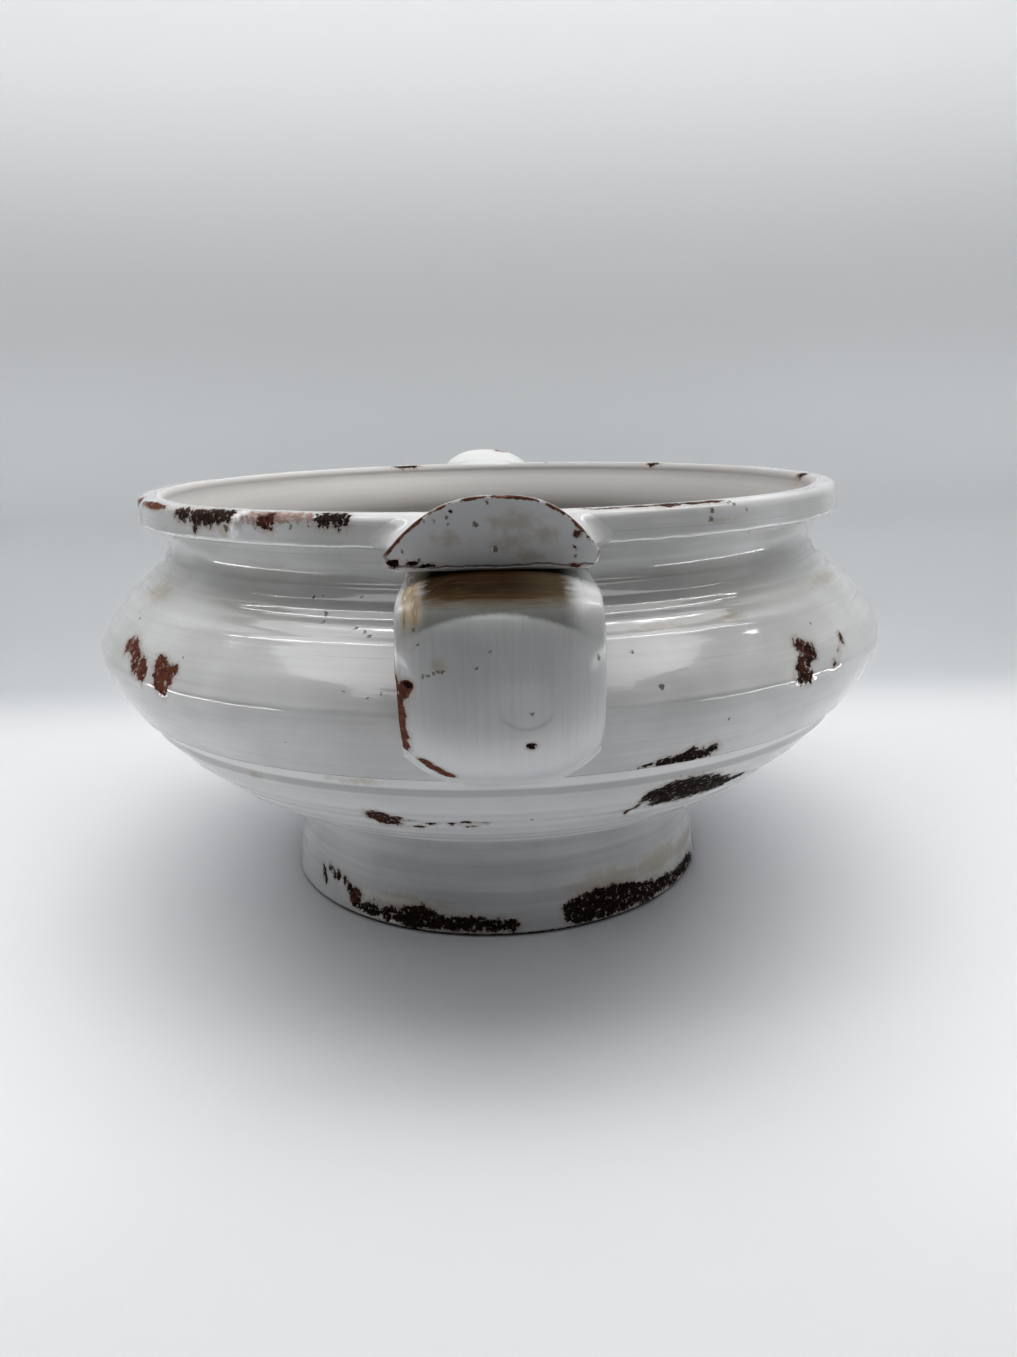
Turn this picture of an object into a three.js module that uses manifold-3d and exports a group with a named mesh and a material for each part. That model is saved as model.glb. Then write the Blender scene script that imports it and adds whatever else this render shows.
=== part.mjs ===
// Handled bowl of glazed earthenware: a thrown bowl with a rolled rim band, a separately thrown
// foot ring luted under it, and two handles. Each handle is a pulled strap from neck to belly
// with a cut thumb tab lapped over the rim above it.
// Millimetres, +Z up, origin at the centre of the face that the foot ring stands on.

import * as THREE from "three";
import { mergeVertices } from "three/addons/utils/BufferGeometryUtils.js";
import Module from "manifold-3d";

// Driving dimensions: joints between luted pieces
const JOINT_GAP = 0.3; // line of slip left between two pieces

// Driving dimensions: foot ring
const FOOT_HEIGHT = 33; // standing face to the bowl's seat
const FOOT_BASE_RADIUS = 79;
const FOOT_TOP_RADIUS = 76;
const FOOT_WAIST_INSET = 0.7; // how far the waist pulls in from a straight side
const FOOT_WALL = 10; // width of the standing face and of the seat
const FOOT_EDGE_ROUND = 1.8; // softened arris that meets the table

// Driving dimensions: bowl, radii
const BELLY_RADIUS = 140.3;
const RIM_RADIUS = 124.2;
const NECK_UNDERCUT = 8.7; // neck inside the rim band
const SHOULDER_INSET = 10.8; // shoulder arris inside the belly
const BAND_HIGH_INSET = 7.9; // upper arris of the turned band inside the belly
const BAND_LOW_INSET = 13.8; // lower arris of the turned band inside the belly
const BAND_COVE_DEPTH = 1.1; // hollow between the two arrises

// Driving dimensions: bowl, heights above its seat on the foot ring
const BAND_LOW_RISE = 35.4;
const BAND_HIGH_RISE = 42.7;
const BELLY_RISE = 61;
const SHOULDER_RISE = 79;
const NECK_RISE = 94.5;
const RIM_RISE = 112.3;
const RIM_BAND_HEIGHT = 9;

// Driving dimensions: bowl, curves and walls
const UNDERBELLY_SWELL_OUT = 26.3; // pull of the curve that leaves the foot ring
const UNDERBELLY_SWELL_UP = 8.5;
const BELLY_SWELL = 6.5; // upright stretch each side of the widest line
const NECK_SWELL = 5.5; // upright stretch each side of the narrowest line
const LIP_THICKNESS = 9;
const LIP_ROUND = 3.4;
const BAND_EDGE_ROUND = 1.4;
const WALL = 7;
const FLOOR = 8;
const WELL_RADIUS = 58; // flat part of the floor inside

// Driving dimensions: thumb tabs, section then length
const TAB_WIDTH = 53;
const TAB_CROWN = 14; // dome above the side arris
const TAB_EDGE = 4; // side arris above the flat underside
const TAB_DROP = 12.3; // flat underside below the top of the rim
const TAB_LENGTH = 15.7; // cut end beyond the rim band
const TAB_FLARE = 11; // fillet where the tab spreads into the rim
const TAB_CORNER = 3.5; // rounding of the two lower edges

// Driving dimensions: handle straps
const STRAP_WIDTH = 50;
const STRAP_WAIST = 1.5; // narrower by this at the neck
const STRAP_STANDOFF = 16.4; // side arris beyond the belly where the strap stands out most
const STRAP_CROWN_TOP = 3.7; // dome above the side arris under the tab
const STRAP_CROWN_FOOT = 8.4; // dome above the side arris at the belly
const STRAP_EDGE = 4; // side arris above the flat inner face
const STRAP_CORNER = 3;
const STRAP_SWELL_START = 0.3; // shares of its line between which the strap swells to its full section
const STRAP_SWELL_END = 0.7;
const STRAP_BEND = 11; // tight bend from the level top into the upright front
const STRAP_FRONT_PULL = 22; // pull of the curve below the upright front, above the end of the line
const STRAP_LANDING = 14.6; // end of the strap's line below the belly's widest line
const STRAP_LANDING_OUT = 32; // pull of the curve before that end, outwards and upwards
const STRAP_LANDING_LIFT = 10.5;
const STRAP_ROOT_DEPTH = 7.5; // how far the line runs on inside the neck and belly before trimming
const STRAP_LANDING_DEPTH = 18.3;

// Facets
const TURNED_SIDES = 64;
const CURVE_STEPS = 4;
const CROWN_STEPS = 12;
const CORNER_STEPS = 3;
const STRAP_STEPS = 20;
const TAB_STEPS = 7;

// Heights and radii that follow from the driving dimensions
const seatHeight = FOOT_HEIGHT;
const bandLow = new THREE.Vector2(BELLY_RADIUS - BAND_LOW_INSET, seatHeight + BAND_LOW_RISE);
const bandHigh = new THREE.Vector2(BELLY_RADIUS - BAND_HIGH_INSET, seatHeight + BAND_HIGH_RISE);
const belly = new THREE.Vector2(BELLY_RADIUS, seatHeight + BELLY_RISE);
const shoulder = new THREE.Vector2(BELLY_RADIUS - SHOULDER_INSET, seatHeight + SHOULDER_RISE);
const neck = new THREE.Vector2(RIM_RADIUS - NECK_UNDERCUT, seatHeight + NECK_RISE);
const rimTop = seatHeight + RIM_RISE;
const rimBottom = rimTop - RIM_BAND_HEIGHT;
const floorHeight = seatHeight + FLOOR;
const underbellyPull = FOOT_TOP_RADIUS + UNDERBELLY_SWELL_OUT;
const tabUnderside = rimTop - TAB_DROP;
const tabEnd = RIM_RADIUS + TAB_LENGTH;
const HALF_TURN = Math.PI;
const QUARTER_TURN = Math.PI / 2;

// Solids and meshes

const MERGE_DISTANCE = 1e-3;

const wasm = await Module();
wasm.setup();

// A closed geometry as a solid that can be cut.
function solidOf(geometry) {
  const bare = geometry.clone();
  bare.deleteAttribute("normal");
  bare.deleteAttribute("uv");
  const merged = mergeVertices(bare, MERGE_DISTANCE);
  return new wasm.Manifold(
    new wasm.Mesh({
      numProp: 3,
      vertProperties: new Float32Array(merged.attributes.position.array),
      triVerts: new Uint32Array(merged.index.array),
    }),
  );
}

// The surface of a solid as a geometry.
function geometryOf(solid) {
  const { vertProperties, triVerts } = solid.getMesh();
  const geometry = new THREE.BufferGeometry();
  geometry.setAttribute("position", new THREE.BufferAttribute(vertProperties, 3));
  geometry.setIndex(new THREE.BufferAttribute(triVerts, 1));
  geometry.computeVertexNormals();
  return geometry;
}

// A profile of (radius, height) points turned about the Z axis.
function turned(profile) {
  return new THREE.LatheGeometry(profile, TURNED_SIDES).rotateX(QUARTER_TURN);
}

// A closed skin over rings of points that all have the same count, with a flat fan at each end.
function lofted(rings) {
  const count = rings[0].length;
  const corners = rings.flat().flatMap((point) => point.toArray());
  const triangles = [];
  for (let ring = 0; ring + 1 < rings.length; ring++) {
    for (let i = 0; i < count; i++) {
      const a = ring * count + i;
      const b = ring * count + ((i + 1) % count);
      triangles.push(a, b, b + count, a, b + count, a + count);
    }
  }
  const last = (rings.length - 1) * count;
  for (let i = 1; i + 1 < count; i++) {
    triangles.push(0, i + 1, i);
    triangles.push(last, last + i, last + i + 1);
  }
  const geometry = new THREE.BufferGeometry();
  geometry.setAttribute("position", new THREE.Float32BufferAttribute(corners, 3));
  geometry.setIndex(triangles);
  return geometry;
}

// Bowl

// Outside of the bowl, from the edge of its seat to the crest of the lip.
function outerWall() {
  const path = new THREE.Path();
  path.moveTo(FOOT_TOP_RADIUS, seatHeight);
  path.quadraticCurveTo(underbellyPull, seatHeight + UNDERBELLY_SWELL_UP, bandLow.x, bandLow.y);

  const across = bandHigh.clone().sub(bandLow).normalize();
  const inward = new THREE.Vector2(-across.y, across.x);
  const cove = bandLow.clone().lerp(bandHigh, 0.5).addScaledVector(inward, 2 * BAND_COVE_DEPTH);
  path.quadraticCurveTo(cove.x, cove.y, bandHigh.x, bandHigh.y);

  path.quadraticCurveTo(belly.x, belly.y - BELLY_SWELL, belly.x, belly.y);
  path.quadraticCurveTo(belly.x, belly.y + BELLY_SWELL, shoulder.x, shoulder.y);
  path.quadraticCurveTo(neck.x, neck.y - NECK_SWELL, neck.x, neck.y);
  path.quadraticCurveTo(neck.x, neck.y + NECK_SWELL, RIM_RADIUS - BAND_EDGE_ROUND, rimBottom);
  path.quadraticCurveTo(RIM_RADIUS, rimBottom, RIM_RADIUS, rimBottom + BAND_EDGE_ROUND);
  path.lineTo(RIM_RADIUS, rimTop - LIP_ROUND);
  path.quadraticCurveTo(RIM_RADIUS, rimTop, RIM_RADIUS - LIP_ROUND, rimTop);
  return path.getPoints(CURVE_STEPS);
}

// Inside of the bowl, from the crest of the lip down to the middle of the floor.
function innerWall() {
  const mouth = RIM_RADIUS - LIP_THICKNESS;
  const throat = neck.x - WALL;
  const hollow = belly.x - WALL;
  const turn = new THREE.Vector2(bandLow.x - WALL, bandLow.y + WALL / 2);
  const path = new THREE.Path();
  path.moveTo(mouth + LIP_ROUND, rimTop);
  path.quadraticCurveTo(mouth, rimTop, mouth, rimTop - LIP_ROUND);
  path.quadraticCurveTo(throat, neck.y + NECK_SWELL, throat, neck.y);
  path.quadraticCurveTo(throat, neck.y - NECK_SWELL, shoulder.x - WALL, shoulder.y - WALL / 2);
  path.quadraticCurveTo(hollow, belly.y + BELLY_SWELL, hollow, belly.y);
  path.quadraticCurveTo(hollow, belly.y - BELLY_SWELL, turn.x, turn.y);
  path.quadraticCurveTo(underbellyPull - WALL, floorHeight + WALL, WELL_RADIUS, floorHeight);
  path.lineTo(0, floorHeight);
  return path.getPoints(CURVE_STEPS);
}

const bowlOutside = outerWall();

function bowlBody() {
  return turned([new THREE.Vector2(0, seatHeight), ...bowlOutside, ...innerWall()]);
}

// The bowl as a filled block, larger by the joint gap, for trimming what is luted onto it.
function bowlTrimmer() {
  const grown = bowlOutside.map((point, i) => {
    const before = bowlOutside[Math.max(i - 1, 0)];
    const after = bowlOutside[Math.min(i + 1, bowlOutside.length - 1)];
    const along = after.clone().sub(before).normalize();
    return point.clone().addScaledVector(new THREE.Vector2(along.y, -along.x), JOINT_GAP);
  });
  const bottom = new THREE.Vector2(0, grown[0].y);
  const top = new THREE.Vector2(0, grown[grown.length - 1].y);
  return solidOf(turned([bottom, ...grown, top]));
}

// Foot ring

function footRing() {
  const seat = seatHeight - JOINT_GAP;
  const path = new THREE.Path();
  path.moveTo(FOOT_BASE_RADIUS - FOOT_WALL, 0);
  path.lineTo(FOOT_BASE_RADIUS - FOOT_EDGE_ROUND, 0);
  path.quadraticCurveTo(FOOT_BASE_RADIUS, 0, FOOT_BASE_RADIUS, FOOT_EDGE_ROUND);
  const waist = (FOOT_BASE_RADIUS + FOOT_TOP_RADIUS) / 2 - 2 * FOOT_WAIST_INSET;
  path.quadraticCurveTo(waist, seat / 2, FOOT_TOP_RADIUS, seat);
  path.lineTo(FOOT_TOP_RADIUS - FOOT_WALL, seat);
  path.closePath();
  return turned(path.getPoints(CURVE_STEPS));
}

// Handles

// A loaf-shaped section: a domed top from side arris to side arris and a flat underside with
// rounded corners, as (across, up) points with the side arrises at height zero.
function loafSection(width, crown, edge, corner) {
  const half = width / 2;
  const radius = (half * half + crown * crown) / (2 * crown);
  const sweep = Math.asin(Math.min(half / radius, 1));
  const points = [];
  for (let i = 0; i <= CROWN_STEPS; i++) {
    const angle = sweep * (1 - (2 * i) / CROWN_STEPS);
    points.push(new THREE.Vector2(radius * Math.sin(angle), crown - radius * (1 - Math.cos(angle))));
  }
  const left = [];
  for (let i = 1; i <= CORNER_STEPS; i++) {
    const angle = (QUARTER_TURN * i) / CORNER_STEPS;
    left.push(new THREE.Vector2(corner * (1 - Math.cos(angle)) - half, -edge * Math.sin(angle)));
  }
  const right = left.map(({ x, y }) => new THREE.Vector2(-x, y)).reverse();
  return [...points, ...left, ...right];
}

// Thumb tab over the rim at the front, grown all round by a clearance where it trims the strap. Its
// back slopes from the apex of the cut end down to the crest of the lip.
function tabBlock(clearance) {
  const flaredHalf = TAB_WIDTH / 2 + TAB_FLARE;
  const flareStart = Math.sqrt(RIM_RADIUS * RIM_RADIUS - flaredHalf * flaredHalf);
  const innerEnd = RIM_RADIUS - LIP_THICKNESS;
  const cutArris = tabUnderside + TAB_EDGE;
  const rimMiddle = rimTop - RIM_BAND_HEIGHT / 2;
  const rings = [];
  for (let i = 0; i <= TAB_STEPS; i++) {
    const reach = innerEnd + ((tabEnd + clearance - innerEnd) * i) / TAB_STEPS;
    const away = THREE.MathUtils.clamp(TAB_FLARE - (reach - flareStart), 0, TAB_FLARE);
    const flare = TAB_FLARE - Math.sqrt(TAB_FLARE * TAB_FLARE - away * away);
    const rise = i / TAB_STEPS;
    const arris = THREE.MathUtils.lerp(cutArris, rimMiddle, flare / TAB_FLARE);
    const crown = THREE.MathUtils.lerp(rimTop, cutArris + TAB_CROWN, rise) - arris + clearance;
    const edge = arris - tabUnderside + clearance;
    const width = TAB_WIDTH + 2 * flare + 2 * clearance;
    const section = loafSection(width, crown, edge, TAB_CORNER + flare);
    rings.push(section.map(({ x, y }) => new THREE.Vector3(x, -reach, arris + y)));
  }
  return solidOf(lofted(rings));
}

// Line of the strap's side arrises, as (radius, height): level out from inside the neck, round a
// tight bend, down the front and back in under the belly's skin.
function strapLine() {
  const top = tabUnderside - STRAP_CROWN_TOP - JOINT_GAP;
  const front = belly.x + STRAP_STANDOFF;
  const landing = new THREE.Vector2(belly.x - STRAP_LANDING_DEPTH, belly.y - STRAP_LANDING);
  const pull = new THREE.Vector2(STRAP_LANDING_OUT, STRAP_LANDING_LIFT).add(landing);
  const path = new THREE.Path();
  path.moveTo(neck.x - STRAP_ROOT_DEPTH, top);
  path.lineTo(front - STRAP_BEND, top);
  path.quadraticCurveTo(front, top, front, top - STRAP_BEND);
  path.bezierCurveTo(front, landing.y + STRAP_FRONT_PULL, pull.x, pull.y, landing.x, landing.y);
  return path;
}

// Strap at the front before it is trimmed to the bowl and the tab.
function strapBlock() {
  const line = strapLine();
  const rings = [];
  for (let i = 0; i <= STRAP_STEPS; i++) {
    const share = i / STRAP_STEPS;
    const at = line.getPoint(share);
    const along = line.getTangent(share);
    const out = new THREE.Vector2(-along.y, along.x);
    const ease = THREE.MathUtils.smoothstep(share, STRAP_SWELL_START, STRAP_SWELL_END);
    const crown = THREE.MathUtils.lerp(STRAP_CROWN_TOP, STRAP_CROWN_FOOT, ease);
    const width = STRAP_WIDTH - STRAP_WAIST * (1 - ease);
    const section = loafSection(width, crown, STRAP_EDGE, STRAP_CORNER);
    rings.push(
      section.map(({ x, y }) => {
        const point = at.clone().addScaledVector(out, y);
        return new THREE.Vector3(x, -point.x, point.y);
      }),
    );
  }
  return solidOf(lofted(rings));
}

// Pieces, each with a glaze of its own

const GLAZE = { color: 0xe6e5e2, roughness: 0.16, metalness: 0 };

function piece(name, geometry) {
  const mesh = new THREE.Mesh(geometry, new THREE.MeshStandardMaterial(GLAZE));
  mesh.name = name;
  return mesh;
}

// Assembly

const bowlTrim = bowlTrimmer();
const tabGeometry = geometryOf(tabBlock(0).subtract(bowlTrim));
const strapGeometry = geometryOf(strapBlock().subtract(bowlTrim).subtract(tabBlock(JOINT_GAP)));

const handledBowl = new THREE.Group();
handledBowl.add(piece("bowl_body", bowlBody()));
handledBowl.add(piece("foot_ring", footRing()));

for (const [side, turn] of [["front", 0], ["back", HALF_TURN]]) {
  const handle = new THREE.Group();
  handle.rotation.z = turn;
  handle.add(piece(`${side}_handle_strap`, strapGeometry));
  handle.add(piece(`${side}_thumb_tab`, tabGeometry));
  handledBowl.add(handle);
}

export default handledBowl;
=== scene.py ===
"""Handled bowl: worn white glaze over red clay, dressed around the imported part.

Metres and +Z up in Blender; sizes in this file are millimetres unless a name says otherwise.
The bowl's axis is Z, the front handle is at -Y, and turns round the bowl are counted in degrees
from the front, positive towards +X.
"""

import math
from collections import namedtuple
from functools import partialmethod

import bpy
import numpy as np
from mathutils import Matrix, Vector

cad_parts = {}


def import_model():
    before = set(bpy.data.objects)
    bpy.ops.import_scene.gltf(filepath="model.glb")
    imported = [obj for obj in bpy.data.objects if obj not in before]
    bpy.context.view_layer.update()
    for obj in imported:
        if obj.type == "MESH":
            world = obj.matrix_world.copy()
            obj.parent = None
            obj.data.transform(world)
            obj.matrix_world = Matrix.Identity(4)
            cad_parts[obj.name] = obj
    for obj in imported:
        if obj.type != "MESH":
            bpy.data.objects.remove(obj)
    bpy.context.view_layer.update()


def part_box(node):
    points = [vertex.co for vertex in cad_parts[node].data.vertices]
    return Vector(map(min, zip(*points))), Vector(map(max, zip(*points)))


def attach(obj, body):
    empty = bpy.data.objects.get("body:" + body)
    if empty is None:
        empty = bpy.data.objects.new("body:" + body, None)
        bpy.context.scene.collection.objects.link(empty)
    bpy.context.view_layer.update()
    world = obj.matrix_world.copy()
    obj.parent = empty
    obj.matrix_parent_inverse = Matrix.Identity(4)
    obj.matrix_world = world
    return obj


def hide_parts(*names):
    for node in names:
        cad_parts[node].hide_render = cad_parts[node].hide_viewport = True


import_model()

MM = 0.001
BODY = "root"

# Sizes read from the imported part

bowl_low, bowl_high = np.array(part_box("bowl_body")) / MM
foot_low, foot_high = np.array(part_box("foot_ring")) / MM
tab_low, tab_high = np.array(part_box("front_thumb_tab")) / MM

BELLY_RADIUS = bowl_high[0]
SEAT_HEIGHT = bowl_low[2]
RIM_TOP = bowl_high[2]
FOOT_BASE_RADIUS = foot_high[0]
TAB_END = -tab_low[1]
TAB_TOP = tab_high[2]
TAB_UNDERSIDE = tab_low[2]

# Sizes of the bowl's profile

RIM_RADIUS = 124.2
RIM_BAND_HEIGHT = 9.0
LIP_THICKNESS = 9.0
LIP_ROUND = 3.4
LIP_CREST = (RIM_RADIUS - LIP_ROUND, RIM_TOP)
BAND_EDGE_ROUND = 1.4
NECK = (115.5, 127.5)
NECK_SWELL = 5.5
SHOULDER = (BELLY_RADIUS - 10.8, 112.0)
BELLY_HEIGHT = 94.0
BELLY_SWELL = 6.5
BAND_HIGH = (BELLY_RADIUS - 7.9, 75.7)
BAND_LOW = (BELLY_RADIUS - 13.8, 68.4)
BAND_COVE = (127.9, 74.6)
UNDERBELLY_PULL = (102.3, 41.5)
FOOT_TOP_RADIUS = 76.0
FOOT_WAIST = 76.1
FOOT_WALL = 10.0
FOOT_EDGE_ROUND = 1.8
WALL = 7.0
FLOOR_HEIGHT = SEAT_HEIGHT + 8.0
WELL_RADIUS = 58.0

# Thrower's ridges on the outside: height, how proud, how wide

BOWL_RIDGES = (
    (137.4, 0.25, 0.8), (124.2, 0.4, 0.8), (121.4, -0.3, 0.8), (118.8, 0.45, 0.9), (115.6, 0.3, 0.8),
    (112, 0.2, 0.7), (103.5, 0.14, 1.6), (96.2, 0.22, 1.3), (84, 0.12, 2.2), (61, 0.25, 1.4),
    (55, -0.2, 1.2), (49, 0.2, 1.0), (43.5, -0.2, 0.8),
)
FOOT_RIDGES = (
    (30, -0.3, 0.9), (26, 0.22, 1.3), (20, -0.15, 1.4), (15, 0.18, 1.6), (10.5, -0.22, 0.9),
)

# Sizes of the handles

TAB_WIDTH = 53.0
TAB_EDGE = 4.0
TAB_CORNER = 3.5
TAB_ARRIS_ROUND = 0.6
TAB_DOME_POWER = 2.6
TAB_APEX_SHIFT = 1.4
TAB_SIDE_FILLET = 8.0
TAB_TOP_FILLET = 3.5
TAB_UNDER_FILLET = 3.5
STRAP_WIDTH = 50.0
STRAP_WAIST = 1.5
STRAP_EDGE = 4.0
STRAP_CORNER = 3.0
STRAP_CROWN_TOP = 3.7
STRAP_CROWN_FOOT = 8.4
STRAP_DOME_POWER = 2.8
STRAP_STANDOFF = 16.4
STRAP_BEND = 11.0
STRAP_FRONT_PULL = 22.0
STRAP_LANDING = (18.3, 14.6)
STRAP_LANDING_PULL = (32.0, 10.5)
STRAP_SWELL = (0.3, 0.7)
STRAP_ROOT_DEPTH = 7.5
STRAP_FILLET = 1.2
STRAP_BURIED = 3.4
JOINT_GAP = 0.3
JOIN_REACH = 30.0
JOIN_SINK = 0.12
JOIN_DEEP = 0.8
STRAP_ASIDE = 2.5
TAB_ASIDE = 1.0

# Camera, fitted to the photograph's rim, belly and base ellipses; yaw, pitch and roll in degrees

PICTURE_HEIGHT = 1357
SENSOR = 36.0
FOCAL_PIXELS = 1020.0
CAMERA_PLACE = (2.0, -386.8, 171.4)
CAMERA_ANGLES = (0.58, 14.91, -1.21)


# Node trees

class Nodes:
    """Short calls for building one node tree. A material's tree counts places in a unit, in metres."""

    def __init__(self, tree, unit=None):
        self.tree = tree
        if unit:
            self.place = self.scaled(self.add("ShaderNodeTexCoord").outputs["Object"], 1 / unit)
            self.x, self.y, self.z = self.split(self.place)

    def feed(self, socket, value):
        if isinstance(value, bpy.types.NodeSocket):
            self.tree.links.new(value, socket)
        else:
            socket.default_value = value

    def add(self, kind, inputs=(), **settings):
        """A node with settings, its inputs fed in their order or by name."""
        node = self.tree.nodes.new(kind)
        for name, value in settings.items():
            setattr(node, name, value)
        for key, value in inputs.items() if isinstance(inputs, dict) else enumerate(inputs):
            self.feed(node.inputs[key], value)
        return node

    def attribute(self, name):
        return self.add("ShaderNodeAttribute", attribute_name=name).outputs["Fac"]

    def math(self, operation, *values):
        return self.add("ShaderNodeMath", values, operation=operation).outputs[0]

    plus = partialmethod(math, "ADD")
    minus = partialmethod(math, "SUBTRACT")
    times = partialmethod(math, "MULTIPLY")
    muladd = partialmethod(math, "MULTIPLY_ADD")
    most = partialmethod(math, "MAXIMUM")
    absolute = partialmethod(math, "ABSOLUTE")

    def apart(self, one, other):
        return self.absolute(self.minus(one, other))

    def vector(self, operation, *values):
        node = self.add("ShaderNodeVectorMath", values, operation=operation)
        return node.outputs["Value" if operation == "DISTANCE" else "Vector"]

    def scaled(self, vector, factor):
        node = self.add("ShaderNodeVectorMath", {0: vector, "Scale": factor}, operation="SCALE")
        return node.outputs["Vector"]

    def split(self, vector):
        return self.add("ShaderNodeSeparateXYZ", [vector]).outputs

    def noise_node(self, vector, scale, detail, rough):
        inputs = {"Vector": vector, "Scale": scale, "Detail": detail, "Roughness": rough}
        return self.add("ShaderNodeTexNoise", inputs)

    def noise(self, scale, detail=2, rough=0.5, at=None):
        """Noise about zero."""
        vector = self.place if at is None else at
        return self.minus(self.noise_node(vector, scale, detail, rough).outputs[0], 0.5)

    def streaks(self, way, detail=2, rough=0.5):
        """Noise about zero with its own scale along each axis."""
        return self.noise(1, detail, rough, self.vector("MULTIPLY", self.place, way))

    def ramp(self, value, low, high, to_low=0.0, to_high=1.0):
        inputs = (value, low, high, to_low, to_high)
        return self.add("ShaderNodeMapRange", inputs, interpolation_type="SMOOTHSTEP").outputs[0]

    def fall(self, value, low, high, top=1.0):
        return self.ramp(value, low, high, top, 0.0)

    def mix(self, factor, low, high):
        """A mix of two colours, each from a node or as sRGB of 0 to 255."""
        low, high = (colour(*end) if isinstance(end, tuple) else end for end in (low, high))
        return self.add("ShaderNodeMix", {0: factor, 6: low, 7: high}, data_type="RGBA").outputs[2]


def colour(red, green, blue):
    """An sRGB colour of 0 to 255 as a linear one."""
    channels = [value / 255 for value in (red, green, blue)]
    linear = [c / 12.92 if c <= 0.04045 else ((c + 0.055) / 1.055) ** 2.4 for c in channels]
    return (*linear, 1.0)


def blank_material(name, unit):
    """A new material and its empty node tree."""
    material = bpy.data.materials.new(name)
    material.use_nodes = True
    material.node_tree.nodes.clear()
    return material, Nodes(material.node_tree, unit)


def smooth_mesh(name, points, faces):
    mesh = bpy.data.meshes.new(name)
    mesh.from_pydata(points, [], faces)
    mesh.shade_smooth()
    return mesh


def placed(name, data):
    """A new object in the scene."""
    thing = bpy.data.objects.new(name, data)
    bpy.context.collection.objects.link(thing)
    return thing


# Profiles

def path(start, *curves):
    """Points from a start along quadratic curves in a row. Each curve has its pull, or None where it
    runs straight, its end, and about how far apart its points are."""
    points = [np.array([start], float)]
    for pull, end, step in curves:
        start, end = points[-1][-1], np.array(end, float)
        pull = (start + end) / 2 if pull is None else np.array(pull, float)
        length = np.linalg.norm(pull - start) + np.linalg.norm(end - pull)
        share = np.linspace(0, 1, max(2, round(length / step)) + 1)[1:, None]
        points.append((1 - share) ** 2 * start + 2 * share * (1 - share) * pull + share**2 * end)
    return np.vstack(points)


def ridged(line, ridges):
    """A rising outside line with soft ridges and grooves at their heights."""
    along = np.gradient(line, axis=0)
    out = np.column_stack([along[:, 1], -along[:, 0]])
    out /= np.linalg.norm(out, axis=1)[:, None]
    push = np.zeros(len(line))
    for height, proud, wide in ridges:
        push += proud * np.exp(-(((line[:, 1] - height) / wide) ** 2))
    push[[0, -1]] = 0
    return line + out * push[:, None]


def bowl_outside(step):
    """Outside of the bowl as (radius, height), from the edge of its seat to the crest of the lip."""
    rim_bottom = RIM_TOP - RIM_BAND_HEIGHT
    under_rim = (RIM_RADIUS - BAND_EDGE_ROUND, rim_bottom)
    band_foot = (RIM_RADIUS, rim_bottom + BAND_EDGE_ROUND)
    band_head = (RIM_RADIUS, RIM_TOP - LIP_ROUND)
    line = path(
        (FOOT_TOP_RADIUS, SEAT_HEIGHT),
        (UNDERBELLY_PULL, BAND_LOW, step),
        (BAND_COVE, BAND_HIGH, step),
        ((BELLY_RADIUS, BELLY_HEIGHT - BELLY_SWELL), (BELLY_RADIUS, BELLY_HEIGHT), step),
        ((BELLY_RADIUS, BELLY_HEIGHT + BELLY_SWELL), SHOULDER, step),
        ((NECK[0], NECK[1] - NECK_SWELL), NECK, step),
        ((NECK[0], NECK[1] + NECK_SWELL), under_rim, step),
        ((RIM_RADIUS, rim_bottom), band_foot, step / 2),
        (None, band_head, step),
        ((RIM_RADIUS, RIM_TOP), LIP_CREST, step / 2),
    )
    return ridged(line, BOWL_RIDGES)


def bowl_inside(step):
    """Inside of the bowl, from the crest of the lip to the middle of the floor."""
    mouth = RIM_RADIUS - LIP_THICKNESS
    throat = NECK[0] - WALL
    hollow = BELLY_RADIUS - WALL
    lip = (mouth + LIP_ROUND, RIM_TOP)
    lip_foot = (mouth, RIM_TOP - LIP_ROUND)
    under_shoulder = (SHOULDER[0] - WALL, SHOULDER[1] - WALL / 2)
    turn = (BAND_LOW[0] - WALL, BAND_LOW[1] + WALL / 2)
    return path(
        LIP_CREST,
        (None, lip, step / 2),
        ((mouth, RIM_TOP), lip_foot, step / 4),
        ((throat, NECK[1] + NECK_SWELL), (throat, NECK[1]), step),
        ((throat, NECK[1] - NECK_SWELL), under_shoulder, step),
        ((hollow, BELLY_HEIGHT + BELLY_SWELL), (hollow, BELLY_HEIGHT), step),
        ((hollow, BELLY_HEIGHT - BELLY_SWELL), turn, step),
        ((UNDERBELLY_PULL[0] - WALL, FLOOR_HEIGHT + WALL), (WELL_RADIUS, FLOOR_HEIGHT), step),
        (None, (0, FLOOR_HEIGHT), 2 * step),
    )


def bowl_profile(fine, coarse):
    underside = path((0, SEAT_HEIGHT), (None, (FOOT_TOP_RADIUS, SEAT_HEIGHT), 4 * coarse))
    return np.vstack([underside[:-1], bowl_outside(fine), bowl_inside(coarse)[1:]])


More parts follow.
